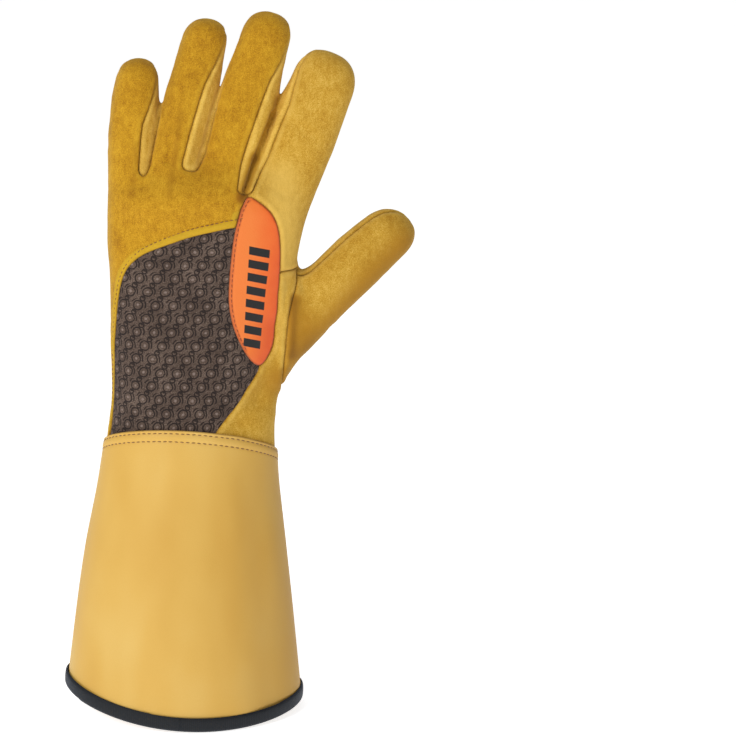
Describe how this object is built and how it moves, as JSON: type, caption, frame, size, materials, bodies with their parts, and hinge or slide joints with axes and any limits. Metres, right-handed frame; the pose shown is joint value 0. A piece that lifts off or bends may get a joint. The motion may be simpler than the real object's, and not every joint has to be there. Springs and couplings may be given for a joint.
{
  "type": "rose pruning gauntlet",
  "caption": "Left-hand leather rose pruning gauntlet with a printed fabric back, a side patch, sewn finger gussets and a long flared cuff bound at its rim.",
  "frame": {"origin": "middle of the wrist hollow, at the seam between the hand and the cuff", "axes": "+Z from the wrist to the fingertips, +X towards the thumb side, -Y out of the back of the hand and +Y out of the palm"},
  "size_m": [0.1963, 0.0988, 0.3911],
  "materials": {
    "mustard_leather": "soft split leather in mustard yellow",
    "tan_suede": "light tan suede",
    "palm_suede": "yellowish suede",
    "cuff_leather": "smooth pale tan grain leather",
    "orange_leather": "smooth orange leather",
    "printed_fabric": "dark brown fabric with a tone on tone print",
    "black_tape": "black woven binding tape",
    "tag_webbing": "orange webbing with a black end, blank"
  },
  "bodies": {
    "root": {"back_leather": "mustard_leather", "back_fabric": "printed_fabric", "side_patch": "orange_leather", "side_panel": "palm_suede", "palm_leather": "palm_suede", "ring_front": "palm_suede", "middle_front": "palm_suede", "gusset_pinky_ring": "tan_suede", "gusset_ring_middle": "tan_suede", "gusset_middle_index": "tan_suede", "thumb_back": "palm_suede", "cuff": "cuff_leather", "rim_binding": "black_tape", "side_tag": "tag_webbing"}
  },
  "joints": []
}
